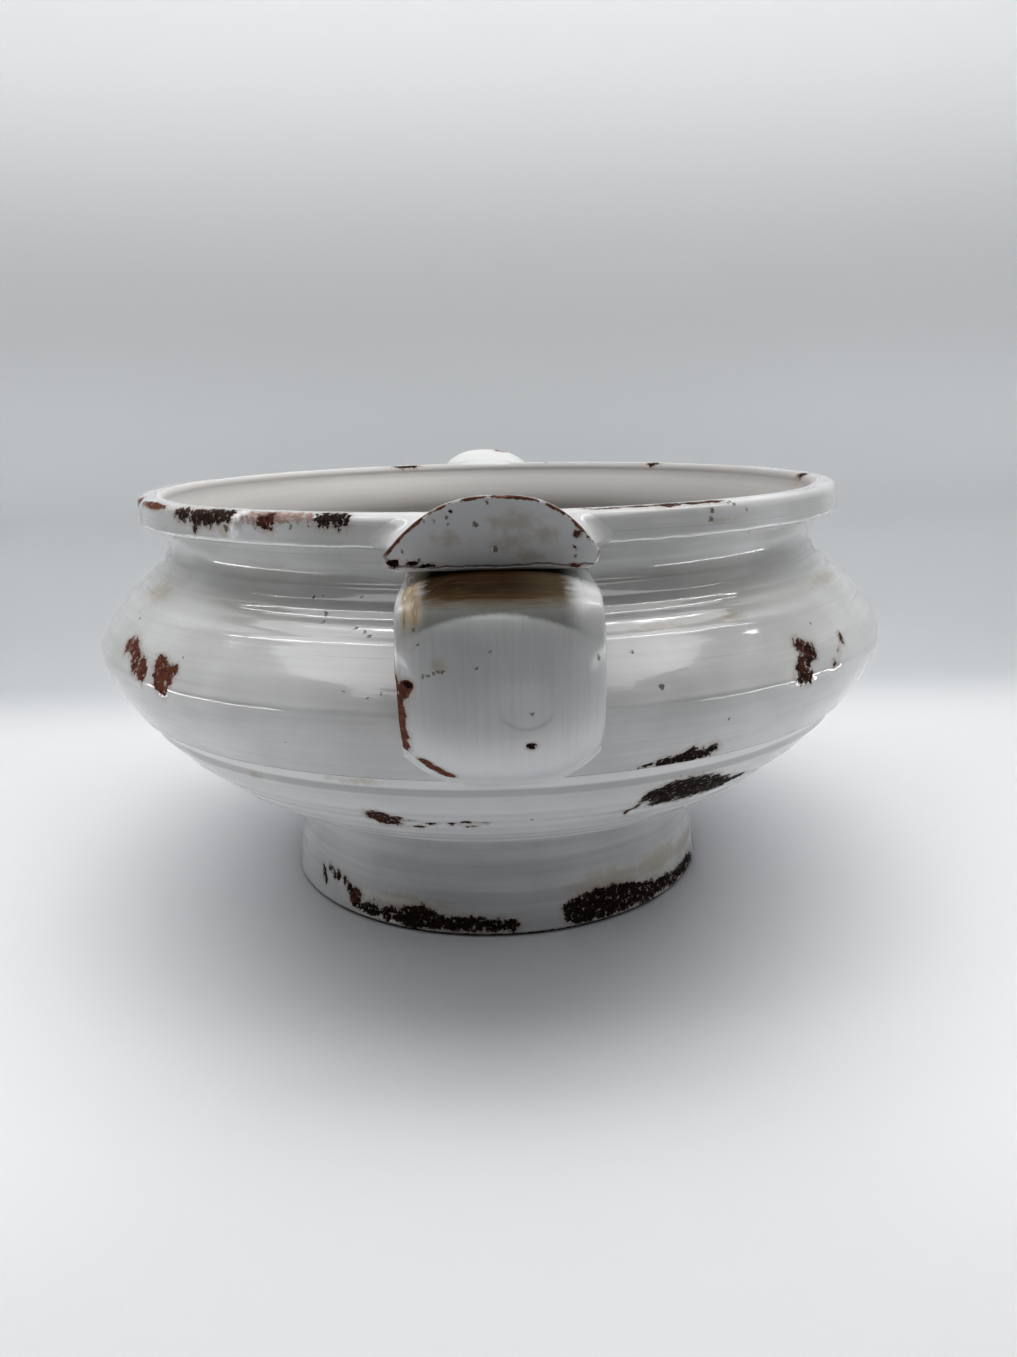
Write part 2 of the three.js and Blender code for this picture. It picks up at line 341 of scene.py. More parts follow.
def foot_profile(step):
    inner_base = (FOOT_BASE_RADIUS - FOOT_WALL, 0)
    outer_base = (FOOT_BASE_RADIUS - FOOT_EDGE_ROUND, 0)
    edge_top = (FOOT_BASE_RADIUS, FOOT_EDGE_ROUND)
    top = (FOOT_TOP_RADIUS, SEAT_HEIGHT)
    inner_top = (FOOT_TOP_RADIUS - FOOT_WALL, SEAT_HEIGHT)
    edge = ((FOOT_BASE_RADIUS, 0), edge_top, step / 2)
    base = path(inner_base, (None, outer_base, 2 * step), edge)
    wall = path(edge_top, ((FOOT_WAIST, SEAT_HEIGHT / 2), top, step))
    inside = path(top, (None, inner_top, 2 * step), (None, inner_base, 2 * step))
    return np.vstack([base[:-1], ridged(wall, FOOT_RIDGES), inside[1:]])


# Thrown pieces

def thrown_tree():
    """Geometry Nodes tree that turns a profile round the Z axis, slightly out of true.
    The form stays true at its base and where the handles join it."""
    tree = bpy.data.node_groups.new("thrown_form", "GeometryNodeTree")
    sockets = {"Profile": "Geometry", "Sides": "Int", "Wobble": "Float", "Clay": "Material"}
    for name, kind in sockets.items():
        tree.interface.new_socket(name, in_out="INPUT", socket_type="NodeSocket" + kind)
    tree.interface.new_socket("Form", in_out="OUTPUT", socket_type="NodeSocketGeometry")
    n = Nodes(tree)
    given = n.add("NodeGroupInput").outputs

    def position():
        return n.add("GeometryNodeInputPosition").outputs[0]

    def worked(form, kind, **inputs):
        return n.add("GeometryNode" + kind, {"Geometry": form, **inputs}).outputs[0]

    count = n.add("GeometryNodeAttributeDomainSize", [given["Profile"]], component="MESH")
    points = count.outputs["Point Count"]
    counts = {"Vertices X": n.plus(given["Sides"], 1.0), "Vertices Y": points}
    grid = n.add("GeometryNodeMeshGrid", {"Size X": 1.0, "Size Y": 1.0, **counts})

    sheet = n.split(position())
    turn = n.times(n.plus(sheet["X"], 0.5), 2 * math.pi)
    along = n.times(n.plus(sheet["Y"], 0.5), n.minus(points, 1.0))
    wanted = {"Geometry": given["Profile"], "Value": position(), "Index": n.math("ROUND", along)}
    sample = n.add("GeometryNodeSampleIndex", wanted, data_type="FLOAT_VECTOR", domain="POINT")
    profile = n.split(sample.outputs[0])
    across = n.times(profile["X"], n.math("SINE", turn))
    depth = n.times(profile["X"], n.math("COSINE", turn))
    spun = n.add("ShaderNodeCombineXYZ", (across, n.times(depth, -1.0), profile["Z"]))
    form = worked(grid.outputs["Mesh"], "SetPosition", Position=spun.outputs[0])
    form = worked(form, "MergeByDistance", Distance=1e-5)

    here = position()
    at = n.split(here)
    beside = n.ramp(n.absolute(at["X"]), 0.042, 0.085)
    between = n.fall(n.absolute(at["Y"]), 0.07, 0.1)
    free = n.times(n.most(beside, between), n.ramp(at["Z"], 0.0, 0.008))
    uneven = n.times(n.noise(13, 1, at=here), given["Wobble"])
    normal = n.add("GeometryNodeInputNormal").outputs[0]
    form = worked(form, "SetPosition", Offset=n.scaled(normal, n.times(uneven, free)))
    form = worked(worked(form, "SetShadeSmooth"), "RealizeInstances")
    form = worked(form, "SetMaterial", Material=given["Clay"])
    n.add("NodeGroupOutput", {"Form": form})
    return tree


def thrown_mesh(name, profile, tree, sides, wobble):
    """A profile of (radius, height) points turned by the thrown form tree into a plain mesh."""
    line = bpy.data.meshes.new(name + "_profile")
    line.from_pydata([(r * MM, 0.0, z * MM) for r, z in profile], [], [])
    wheel = placed(name + "_wheel", line)
    modifier = wheel.modifiers.new("throw", "NODES")
    modifier.node_group = tree
    clay = bpy.data.materials.new(name + "_clay")
    values = {"Sides": sides, "Wobble": wobble * MM, "Clay": clay}
    for item in tree.interface.items_tree:
        if item.name in values:
            modifier[item.identifier] = values[item.name]
    graph = bpy.context.evaluated_depsgraph_get()
    mesh = bpy.data.meshes.new_from_object(wheel.evaluated_get(graph))
    mesh.name = name
    bpy.data.objects.remove(wheel)
    return mesh


# Handle fields: signed distances, negative inside

def outline_distance(points, outline):
    """Signed distance in a plane from each point to a closed outline."""
    start, end = outline, np.roll(outline, -1, axis=0)
    edge = end - start
    squared = (edge**2).sum(1) + 1e-12
    result = np.empty(len(points))
    for part in np.array_split(np.arange(len(points)), len(points) // 3000 + 1):
        offset = points[part, None] - start
        share = np.clip((offset * edge).sum(2) / squared, 0, 1)
        gap = np.linalg.norm(offset - share[..., None] * edge, axis=2).min(1)
        height = points[part, 1, None]
        spans = (start[:, 1] > height) != (end[:, 1] > height)
        rise = np.where(np.abs(edge[:, 1]) < 1e-12, 1e-12, edge[:, 1])
        crossing = start[:, 0] + (height - start[:, 1]) / rise * edge[:, 0]
        inside = (spans & (points[part, 0, None] < crossing)).sum(1) % 2 == 1
        result[part] = np.where(inside, -gap, gap)
    return result


class PlaneField:
    """Signed distance to an outline, read off a fine grid."""

    def __init__(self, outline, low, high, step):
        self.low, self.step = np.array(low, float), step
        counts = np.ceil((np.array(high) - self.low) / step).astype(int) + 1
        lines = [start + step * np.arange(count) for start, count in zip(low, counts)]
        grid = np.stack(np.meshgrid(*lines, indexing="ij"), -1).reshape(-1, 2)
        self.values = outline_distance(grid, outline).reshape(counts)

    def __call__(self, points):
        place = np.clip((points - self.low) / self.step, 0, np.array(self.values.shape) - 1.001)
        cell = place.astype(int)
        (i, j), (s, t) = cell.T, (place - cell).T
        v = self.values
        lower = v[i, j] * (1 - s) + v[i + 1, j] * s
        upper = v[i, j + 1] * (1 - s) + v[i + 1, j + 1] * s
        return lower * (1 - t) + upper * t


OUTSIDE = bowl_outside(1.0)
bowl_filled = np.vstack([[(0, SEAT_HEIGHT)], OUTSIDE, [(0, RIM_TOP)]])
bowl_section = PlaneField(bowl_profile(1.0, 3.0), (98, 66), (190, 164), 0.4)
bowl_block = PlaneField(bowl_filled, (98, 60), (190, 164), 0.4)


def turned_flat(points):
    """Points as (radius, height)."""
    return np.column_stack([np.hypot(points[:, 0], points[:, 1]), points[:, 2]])


def lengths_along(line):
    """How far along a line each of its points is."""
    return np.r_[0, np.cumsum(np.linalg.norm(np.diff(line, axis=0), axis=1))]


def rays_to(outline, middle):
    """Directions from a middle to the points of an outline, and how far they are."""
    rays = outline - middle
    lengths = np.linalg.norm(rays, axis=1)
    return rays / lengths[:, None], lengths


def smoothstep(value, low, high):
    share = np.clip((value - low) / (high - low), 0, 1)
    return share * share * (3 - 2 * share)


def joined_to_bowl(handle, bowl, fillet):
    """Distance to a handle joined to the bowl with a fillet. Away from the handle the joint runs
    out under the bowl's surface, and then deeper than any chip."""
    share = np.clip(0.5 + 0.5 * (bowl - handle) / fillet, 0, 1)
    blend = bowl * (1 - share) + handle * share - fillet * share * (1 - share)
    sink = JOIN_SINK * (1 - smoothstep(share, 0, 0.15))
    return blend + sink + JOIN_DEEP * smoothstep(handle - bowl, fillet, 1.8 * fillet)


def loaf(width, crown, edge, corner, power, count):
    """Closed outline, as (across, up), of a domed top over a flat underside with rounded corners.
    The side arrises are at height zero. The points are evenly spaced."""
    half = width / 2
    across = half * np.sin(np.linspace(math.pi / 2, -math.pi / 2, 120))
    dome = np.column_stack([across, crown * (1 - np.abs(across / half) ** power)])
    quarter = np.linspace(0, math.pi / 2, 14)[1:]
    left = np.column_stack([-half + corner * (1 - np.cos(quarter)), -edge * np.sin(quarter)])
    right = left[::-1] * (-1, 1)
    loop = np.vstack([dome, left, right, dome[:1]])
    steps = lengths_along(loop)
    spots = np.linspace(0, steps[-1], count, endpoint=False)
    return np.column_stack([np.interp(spots, steps, loop[:, axis]) for axis in (0, 1)])


def skin(centres, directions, field, reach, steps):
    """Where rays from inside a body leave it, going no further than their reach."""
    travel = np.zeros(len(centres))
    for _ in range(steps):
        travel = np.clip(travel - field(centres + travel[:, None] * directions), 0, reach)
    return centres + travel[:, None] * directions


def ring_mesh(name, rings, edge_mm=None):
    """Closed mesh over rings of points in millimetres, each end drawn to its middle."""
    stations, count = rings.shape[:2]
    points = np.vstack([rings.reshape(-1, 3), rings[[0, -1]].mean(1)])
    faces = []
    last = (stations - 1) * count
    for i in range(count):
        j = (i + 1) % count
        for first in range(0, last, count):
            faces.append((first + i, first + j, first + count + j, first + count + i))
        faces.append((j, i, stations * count))
        faces.append((last + i, last + j, stations * count + 1))
    mesh = smooth_mesh(name, (points * MM).tolist(), faces)
    if edge_mm is not None:
        keep_on_points(mesh, "edge_mm", np.r_[np.repeat(edge_mm, count), edge_mm[0], edge_mm[-1]])
    return mesh


def arris_inset(depth):
    """How far the rounded arris of the tab's cut end still is inside at a depth behind the end."""
    short = max(TAB_ARRIS_ROUND - depth, 0)
    return TAB_ARRIS_ROUND - math.sqrt(TAB_ARRIS_ROUND**2 - short**2)


def squeezed(section, share):
    """A section with the dome above its arrises lowered to a share of its height."""
    return np.column_stack([section[:, 0], np.where(section[:, 1] > 0, share, 1) * section[:, 1]])


def tab_rings():
    """Rings of the front thumb tab, from inside the lip out to the middle of its cut end, and how
    far each ring is from the end's arris."""
    arris = TAB_UNDERSIDE + TAB_EDGE
    crown = TAB_TOP - arris
    outline = loaf(TAB_WIDTH, crown, TAB_EDGE, TAB_CORNER, TAB_DOME_POWER, count=168)
    outline[:, 0] += TAB_APEX_SHIFT * np.clip(outline[:, 1], 0, None) / crown
    section = PlaneField(outline, (-70, -30), (70, 60), 0.4)
    inner = RIM_RADIUS - LIP_THICKNESS + 0.6
    root_share = (RIM_TOP - 1.2 - arris) / crown
    arris_start = TAB_END - TAB_ARRIS_ROUND
    reaches = np.r_[
        np.linspace(inner, arris_start - 3, 56),
        np.linspace(arris_start - 2.5, arris_start - 0.25, 8),
        TAB_END - TAB_ARRIS_ROUND * (1 - np.sin(np.linspace(0, math.pi / 2, 6))),
    ]
    rings = []
    for reach in reaches:
        rise = np.clip((reach - inner) / (TAB_END - 2 - inner), 0, 1)
        share = root_share + (1 - root_share) * rise
        inset = arris_inset(TAB_END - reach)
        middle = np.array([0.0, crown * 0.3 * share])
        directions, lengths = rays_to(squeezed(outline, share), middle)

        def field(points, share=share, inset=inset):
            flat = np.column_stack([points[:, 0] - TAB_ASIDE, points[:, 2] - arris])
            tab = section(squeezed(flat, 1 / share)) + inset
            side = smoothstep(np.abs(points[:, 0]), 12, 25)
            fillet = TAB_TOP_FILLET + (TAB_SIDE_FILLET - TAB_TOP_FILLET) * side
            under = 1 - smoothstep(points[:, 2], TAB_UNDERSIDE + 1, arris + 3)
            fillet = fillet + (TAB_UNDER_FILLET - fillet) * under
            return joined_to_bowl(tab, bowl_section(turned_flat(points)), fillet) * 0.5

        centres = np.tile([TAB_ASIDE, -reach, arris + middle[1]], (len(outline), 1))
        rays = np.column_stack([directions[:, 0], np.zeros(len(outline)), directions[:, 1]])
        rings.append(skin(centres, rays, field, lengths + JOIN_REACH, steps=80))
    last = rings[-1]
    heart = last.mean(0)
    shares = np.array([0.985, 0.96, 0.93, 0.88, 0.8, 0.7, 0.58, 0.45, 0.3, 0.15])
    rings += [heart + (last - heart) * share for share in shares]
    return np.array(rings), np.r_[TAB_END - reaches, (shares - 1) * crown]


def strap_line():
    """Points along the strap's side arrises, as (radius, height): level out from inside the neck,
    round a tight bend, down the front and back in under the belly's skin."""
    top = TAB_UNDERSIDE - STRAP_CROWN_TOP - JOINT_GAP
    front = BELLY_RADIUS + STRAP_STANDOFF
    root = np.array([NECK[0] - STRAP_ROOT_DEPTH, top])
    bend_start = np.array([front - STRAP_BEND, top])
    bend_end = np.array([front, top - STRAP_BEND])
    landing = np.array([BELLY_RADIUS, BELLY_HEIGHT]) - STRAP_LANDING
    pulls = np.array([front, landing[1] + STRAP_FRONT_PULL]), landing + STRAP_LANDING_PULL
    s = np.linspace(0, 1, 400)[1:, None]
    fall = (1 - s) ** 3 * bend_end + 3 * s * (1 - s) ** 2 * pulls[0]
    fall += 3 * s * s * (1 - s) * pulls[1] + s**3 * landing
    level = path(root, (None, bend_start, 0.2), ((front, top), bend_end, 0.2))
    return np.vstack([level, fall])


def kept_in_wall(points):
    """Points that lie deep inside the bowl, brought back to just under its outside."""
    place = turned_flat(points)
    deep = np.clip(-STRAP_BURIED - bowl_block(place), 0, None)
    slope = [bowl_block(place + step) - bowl_block(place - step) for step in ((0.5, 0.0), (0.0, 0.5))]
    across, up = np.array(slope) / (np.linalg.norm(slope, axis=0) + 1e-9)
    radius = np.maximum(place[:, 0] + deep * across, 1e-6)
    spread = radius / np.maximum(place[:, 0], 1e-6)
    return np.column_stack([points[:, 0] * spread, points[:, 1] * spread, points[:, 2] + deep * up])


def strap_rings():
    """Rings of the front strap, from inside the neck to inside the belly."""
    line = strap_line()
    travel = lengths_along(line)
    rings = []
    for share in np.linspace(0, 1, 150):
        ends = np.clip(share * travel[-1] + np.array([-0.4, 0.4]), 0, travel[-1])
        before, after = (np.array([np.interp(end, travel, axis) for axis in line.T]) for end in ends)
        place = (before + after) / 2
        along = (after - before) / np.linalg.norm(after - before)
        out = np.array([-along[1], along[0]])
        ease = smoothstep(share, *STRAP_SWELL)
        crown = STRAP_CROWN_TOP + (STRAP_CROWN_FOOT - STRAP_CROWN_TOP) * ease
        width = STRAP_WIDTH - STRAP_WAIST * (1 - ease)
        outline = loaf(width, crown, STRAP_EDGE, STRAP_CORNER, STRAP_DOME_POWER, count=128)
        middle = np.array([0.0, (crown - STRAP_EDGE) / 2])
        directions, lengths = rays_to(outline, middle)

        def world(section, place=place, out=out):
            at = place + section[:, 1:] * out
            return np.column_stack([section[:, 0] + STRAP_ASIDE, -at[:, 0], at[:, 1]])

        def field(section, outline=outline):
            bare = outline_distance(section, outline)
            wall = bowl_block(turned_flat(world(section)))
            return joined_to_bowl(bare, wall, STRAP_FILLET) * 0.95

        centres = np.tile(middle, (len(outline), 1))
        ring = world(skin(centres, directions, field, lengths + STRAP_FILLET, steps=14))
        rings.append(kept_in_wall(ring))
    return np.array(rings)


# Wear

Patch = namedtuple("Patch", "place half turn tilt")
Wear = namedtuple("Wear", "red black pale specks stains drips")
SKIN_DEPTH = 4.0
CHIP_DENT = 0.35
SMALLEST_CHIP = 2.4
DRIP_RISE = 1.3


def spot(x, y, z, width, rise, depth=SKIN_DEPTH):
    """A patch that faces the front, with its full width and rise."""
    return Patch((x, y, z), (width / 2, depth, rise / 2), 0.0, 0.0)


def on_tab(x, z, width, rise):
    """A patch on the cut end of the front tab."""
    return spot(x, -TAB_END, z, width, rise)


def round_bowl(turn, radius, height, width, rise, lean=0.0):
    angle = math.radians(turn)
    place = (radius * math.sin(angle), -radius * math.cos(angle), height)
    return Patch(place, (width / 2, SKIN_DEPTH, rise / 2), turn, lean)


LIP = RIM_TOP - 0.4


def on_bowl(turn, height, width, rise, crest=None):
    """A patch on the outside of the bowl, by its turn from the front and its height, or flat on the top
    of the lip, by the radius of that."""
    if crest:
        return round_bowl(turn, crest, height, width, rise, 90.0)
    at = int(np.argmin(np.abs(OUTSIDE[:, 1] - height)))
    low, high = OUTSIDE[max(at - 2, 0)], OUTSIDE[min(at + 2, len(OUTSIDE) - 1)]
    lean = math.degrees(math.atan2(low[0] - high[0], high[1] - low[1]))
    return round_bowl(turn, OUTSIDE[at, 0], height, width, rise, lean)


def on_foot(turn, height, width, rise):
    return round_bowl(turn, FOOT_BASE_RADIUS - 1.5, height, width, rise)


def worn(maker, **rows):
    """Wear with the patches of each kind made from their rows."""
    return Wear(*([maker(*row) for row in rows.get(kind, ())] for kind in Wear._fields))


def behind(wear):
    """The same wear half a turn round the bowl."""
    return Wear(*(
        [Patch((-p.place[0], -p.place[1], p.place[2]), p.half, p.turn + 180, p.tilt) for p in patches]
        for patches in wear
    ))


BOWL_WEAR = worn(
    on_bowl,
    red=[
        (-68, 144.3, 13, 3.2), (-57, 144.5, 22, 2.4), (-29, 143, 6, 4.6), (-54.4, 103.2, 5, 6),
        (-52, 103, 5, 6.6), (-50.4, 100.8, 6, 7), (-48.4, 99.4, 5, 6), (-47.2, 97.8, 4, 5),
        (-44, 101.2, 8, 7), (-42.6, 98.6, 9, 10), (-42.4, 95.4, 6, 6), (-40.8, 101, 4, 3.6),
        (40.6, 103.2, 6, 5), (42.2, 102, 4.6, 5.4), (40.4, 99.8, 5.6, 5), (39.2, 97.6, 5, 5),
        (38.4, 95.9, 4.4, 4.4), (40.3, 95.4, 4, 4), (50, 101.5, 3, 5), (47.8, 99.6, 2, 2.8),
        (46.3, 96.2, 3, 3), (-17, 56.8, 8, 12), (-15.4, 55.6, 5, 7), (-13.7, 57.3, 2.2, 2.6),
        (-12.3, 56.1, 2.6, 2.8), (-11.7, 52.8, 3, 2.4), (-9.4, 54.8, 5, 2), (-6.3, 55.2, 2.6, 3),
        (-4.1, 56.2, 3, 2.6), (-3.6, 53.6, 4, 2.4), (-1.6, 55.4, 3, 3), (20.4, 54.6, 2, 5),
        (21.2, 57.4, 2.4, 4), (112, 144.2, 20, 3.2), (151, 144.4, 12, 2.6), (-118, 144.3, 26, 3),
        (-147, 144.2, 10, 3.6), (128, 98, 11, 9), (133, 101, 7, 6), (-104, 99, 8, 10),
        (-150, 78, 20, 4.5), (146, 64, 22, 7), (-128, 57, 10, 5),
        (11.5, LIP, 8, 2.6, 120.9), (15, LIP, 9, 2.8, 121), (19.5, LIP, 8, 2.6, 121),
        (24, LIP, 8, 3.2, 121.2), (27.5, LIP, 9, 3, 121.2), (31, LIP, 6, 2.8, 121.2),
    ],
    black=[
        (-45.6, 143.9, 9, 5), (-42, 143.7, 10, 5.6), (-38.4, 143.6, 10, 5.6), (-35.6, 143.9, 7, 4.6),
        (-20.4, 144, 6, 5.2), (-18.4, 144, 6, 5), (-42.5, 140.2, 2.4, 4.4), (18.4, 76.3, 5, 1.6),
        (20.4, 77.2, 6, 4.4), (22.6, 77.2, 6, 4.6), (23.6, 78.2, 5, 6.2), (25.4, 77.2, 5, 4.2),
        (26.7, 78.4, 4.4, 6.4), (22.3, 62.2, 7, 9), (24.5, 62.5, 9, 14), (27, 61.5, 9, 17),
        (29.5, 60.8, 10, 17), (32, 60, 9, 15), (34.5, 59.4, 8, 12), (37, 59.2, 6, 8), (39, 60.2, 5, 4),
        (24.6, 57.2, 6, 5), (166, 79, 15, 5), (-135, 144.2, 12, 3.4), (97, 144.3, 9, 3),
        (89, LIP, 9, 4, 116.8), (-160, LIP, 12, 2.6, 117), (140, LIP, 8, 3, 117),
    ],
    pale=[
        (-31, 144, 8, 4), (-27, 144.1, 14, 3.8), (-23.6, 144.3, 9, 3.2), (-129, 144.1, 14, 2.8),
        (120, 144.1, 12, 2.6),
    ],
    specks=[
        (-24.3, 121.7, 1.4, 1.2), (-22.8, 122.1, 1, 1), (-21.3, 118.2, 1.6, 1.4),
        (-21.2, 116.6, 1.5, 1.3), (-17.1, 122.6, 1.1, 1), (-16.4, 115.2, 1.6, 0.9),
        (-15.2, 114.3, 1.4, 1.2), (-14.4, 113.5, 1.2, 1.2), (-35.9, 140.4, 1.6, 3.2),
        (-25, 141.6, 1.2, 1.4), (-22.4, 141.8, 1, 1.2), (-30.5, 140.8, 0.9, 1), (29.6, 142.9, 1.8, 1.4),
        (29.4, 140.7, 1.8, 2), (35.6, 142.5, 1.1, 1), (38.2, 135.1, 2.2, 1), (32.5, 144.6, 1.5, 1),
        (18.7, 100, 1.6, 2.8), (16.3, 108.6, 1.6, 1.2), (15.3, 107.6, 1, 0.8), (27.5, 88.5, 0.9, 0.9),
        (-16, 101.2, 1, 1), (-13.2, 100.2, 0.9, 1), (-11.8, 101, 1.2, 0.9), (-23.5, 86, 0.8, 0.7),
        (17.2, 76, 2.4, 0.9), (33.1, 144.9, 1.6, 1.4), (33.6, 144.2, 1.4, 1.2), (-40, 104.6, 1.2, 1.1),
        (45, 108, 1.2, 1.2), (96, 120, 1.4, 1.2), (118, 108, 1.2, 1.4), (157, 118, 1.5, 1.2),
        (-95, 119, 1.4, 1.2), (-140, 106, 1.3, 1.3),
    ],
    stains=[
        (-33, 69.6, 5, 2.4), (-17, 73.2, 16, 2.6), (32.3, 113.6, 9, 3), (30.8, 140.3, 9, 1.2),
        (-58, 117, 18, 7), (-36.4, 139.6, 3, 4), (21, 113.5, 14, 2), (60, 116, 24, 5), (115, 117, 26, 6),
        (-110, 116, 30, 6), (160, 73, 20, 2.6), (-66, 71, 9, 2.4),
    ],
    drips=[(-34.2, 141.4, 4.6, 7.4)],
)
FOOT_WEAR = worn(
    on_foot,
    red=[(-39.6, 6.4, 6, 6.6), (-20, 7.5, 10, 3), (150, 5, 18, 6), (-160, 4, 14, 5)],
    black=[
        (-34, 3.8, 14, 4.4), (-27, 4.2, 14, 5.4), (-22, 4.6, 14, 7.6), (-17, 4.4, 14, 6),
        (-11, 4.2, 16, 5), (-6, 4, 14, 5.4), (-1, 3.8, 12, 5.6), (3, 3.6, 6, 4.6), (20, 5.8, 10, 8.4),
        (23, 6.2, 12, 10.8), (27, 6.6, 14, 11.4), (31, 6.6, 14, 11), (35.5, 6, 14, 9), (41, 5, 16, 6.8),
        (48, 4.4, 18, 5.6), (56, 3.8, 18, 5.2), (64, 3.6, 18, 5), (96, 3.6, 34, 5), (126, 5.6, 20, 8),
        (134, 5, 18, 6), (-96, 3.6, 40, 5), (-130, 4.8, 24, 7), (176, 3.6, 30, 5), (-54.5, 10, 1.8, 5),
        (-51, 12.8, 1.6, 3.4), (-48.6, 11.4, 1.8, 4.2), (-46.6, 11.6, 1.6, 4), (-44.2, 10.8, 2.2, 3.4),
        (-52.8, 7, 1.6, 4), (-42, 8.6, 2.4, 4),
    ],
    specks=[(-33.4, 8, 1.5, 1.2), (-19, 9.6, 2.6, 1.2), (-4.6, 7, 1, 1.6), (-10, 7.6, 1.2, 1)],
    stains=[
        (29, 14, 30, 7), (48, 14, 26, 9), (-22, 9.6, 26, 5), (64, 12, 20, 8), (128, 13, 24, 7),
        (-128, 12, 22, 7),
    ],
)
STRAP_WEAR = worn(
    spot,
    red=[
        (-22.8, -157.6, 107.6, 3, 9, 7), (-22.6, -156, 102, 5, 12, 7), (-22.6, -153, 96, 4.8, 10, 8),
        (-22, -150.5, 91.6, 3.6, 6, 8), (-20.6, -158.8, 107.8, 3.6, 4), (-19.2, -159.3, 109.4, 3, 3),
        (-16.6, -148.3, 86.6, 4.6, 3.6), (-14.4, -147.2, 84.9, 5.4, 3.6), (-12, -145.8, 83, 5, 3.4),
    ],
    black=[(9.3, -158.8, 94.3, 2.6, 2), (-19.2, -159.4, 109.6, 2, 1.8)],
    specks=[
        (0.4, -162.7, 118.1, 1, 0.9), (-2.9, -163.1, 114.6, 1.1, 1.1), (13.4, -161.6, 106.2, 1.6, 1.4),
        (-15.3, -161.1, 112.1, 1.5, 1.2), (-14.1, -161.4, 112.4, 1.3, 1.2),
        (-12.9, -161.8, 112.9, 1.6, 1.1), (-11.7, -162, 113.4, 1.2, 1.2), (-10.6, -162.2, 113.7, 1.4, 1),
        (-17.4, -159, 123, 1.9, 1.5), (-16.4, -160, 119.3, 1.4, 1.3), (25.2, -157.6, 114.8, 1.3, 1.4),
        (14.9, -159.8, 122.5, 1.6, 0.8), (9.8, -162, 103.1, 1.1, 1),
    ],
    stains=[(-11.6, -161.4, 114.8, 4.4, 3), (-18.4, -152, 124, 4.6, 9, 14)],
)
BACK_STRAP_WEAR = behind(worn(
    spot,
    red=[
        (27.4, -153, 100, 4.6, 10, 7), (27, -148, 91, 4, 7, 8), (-22.2, -160, 112, 3.6, 6, 6),
        (4, -139, 79.5, 9, 2.4, 6),
    ],
    black=[(-8, -162.5, 100, 2.2, 1.8)],
    specks=[(6, -163, 112, 1.1, 1), (-12, -161, 107, 1.3, 1.2), (12, -157, 93, 1.2, 1.2)],
    stains=[(12, -152, 124, 14, 6, 14)],
))
TAB_WEAR = worn(
    on_tab,
    red=[
        (3.4, 150.8, 4.4, 0.8), (21.8, 141.2, 2, 1.8), (21.4, 133.7, 2.4, 1.4), (-23.4, 140.2, 1.6, 1.6),
        (-25.6, 138, 1.2, 2), (21.3, 138.4, 0.7, 7),
    ],
    black=[
        (-22.8, 135.2, 3.6, 2.3), (-18.2, 135.1, 3.4, 1.7), (-15.2, 134.4, 5.4, 1.1),
        (-8.6, 147.4, 1, 0.9),
    ],
    specks=[
        (-2.6, 144.2, 1.7, 1.9), (-9.6, 145.9, 1.4, 1.2), (-12.8, 145.2, 1.2, 1.1),
        (-9.4, 144.4, 1.2, 1), (-15.2, 145.2, 1.2, 1.2), (-20.6, 138, 1, 1), (-16.6, 136, 1.3, 1),
        (0.2, 149.4, 1.6, 1), (2, 138.2, 3.2, 0.9),
    ],
    stains=[
        (-9.8, 140.9, 6.5, 3.6), (7, 144.8, 10, 4.6), (5.6, 139.4, 9, 4), (14.6, 141.6, 6, 4),
        (10.6, 136.2, 5, 2.6), (2, 145, 4, 2.4),
    ],
)
BACK_TAB_WEAR = behind(worn(
    on_tab,
    red=[(-6, 150, 8, 1.8), (24, 138.4, 3, 2.8), (-19, 134, 6, 1.6)],
    black=[(18, 134.2, 7, 1.8)],
    specks=[(5, 143, 1.4, 1.3), (-11, 141, 1.3, 1.2), (9, 146, 1.1, 1.1)],
    stains=[(-4, 140, 9, 4.4), (12, 143, 7, 4)],
))
STRAP_DIMPLE = spot(6.6, -163.5, 103.0, 18, 16, 8.0)
STRAP_DIMPLE_DEPTH = 0.7
# Centre and radius of the ring along which a painted shadow marks the thumb dimple's lower edge
THUMB_MARK = (8.4, -161.5, 105.6)
THUMB_RADIUS = 6.7


def vertex_rows(mesh):
    """Places in millimetres and normals of a mesh's vertices."""
    rows = []
    for vectors, name in ((mesh.vertices, "co"), (mesh.vertex_normals, "vector")):
        flat = np.empty(len(vectors) * 3, np.float32)
        vectors.foreach_get(name, flat)
        rows.append(flat.reshape(-1, 3).astype(float))
    return rows[0] / MM, rows[1]


def keep_on_points(mesh, name, values):
    """Keeps a number on each vertex of a mesh, for its material to read."""
    mesh.attributes.new(name, "FLOAT", "POINT").data.foreach_set("value", values.astype(np.float32))


def patch_depth(places, patches):
    """How many millimetres inside the nearest patch each place is."""
    deepest = np.full(len(places), -20.0)
    for patch in patches:
        turn = Matrix.Rotation(math.radians(patch.turn), 3, "Z")
        axes = turn @ Matrix.Rotation(math.radians(-patch.tilt), 3, "X")
        local = (places - patch.place) @ np.array(axes) / patch.half
        size = max(min(patch.half[0], patch.half[2]), SMALLEST_CHIP)
        deepest = np.maximum(deepest, size * (1 - np.linalg.norm(local, axis=1)))
    return deepest


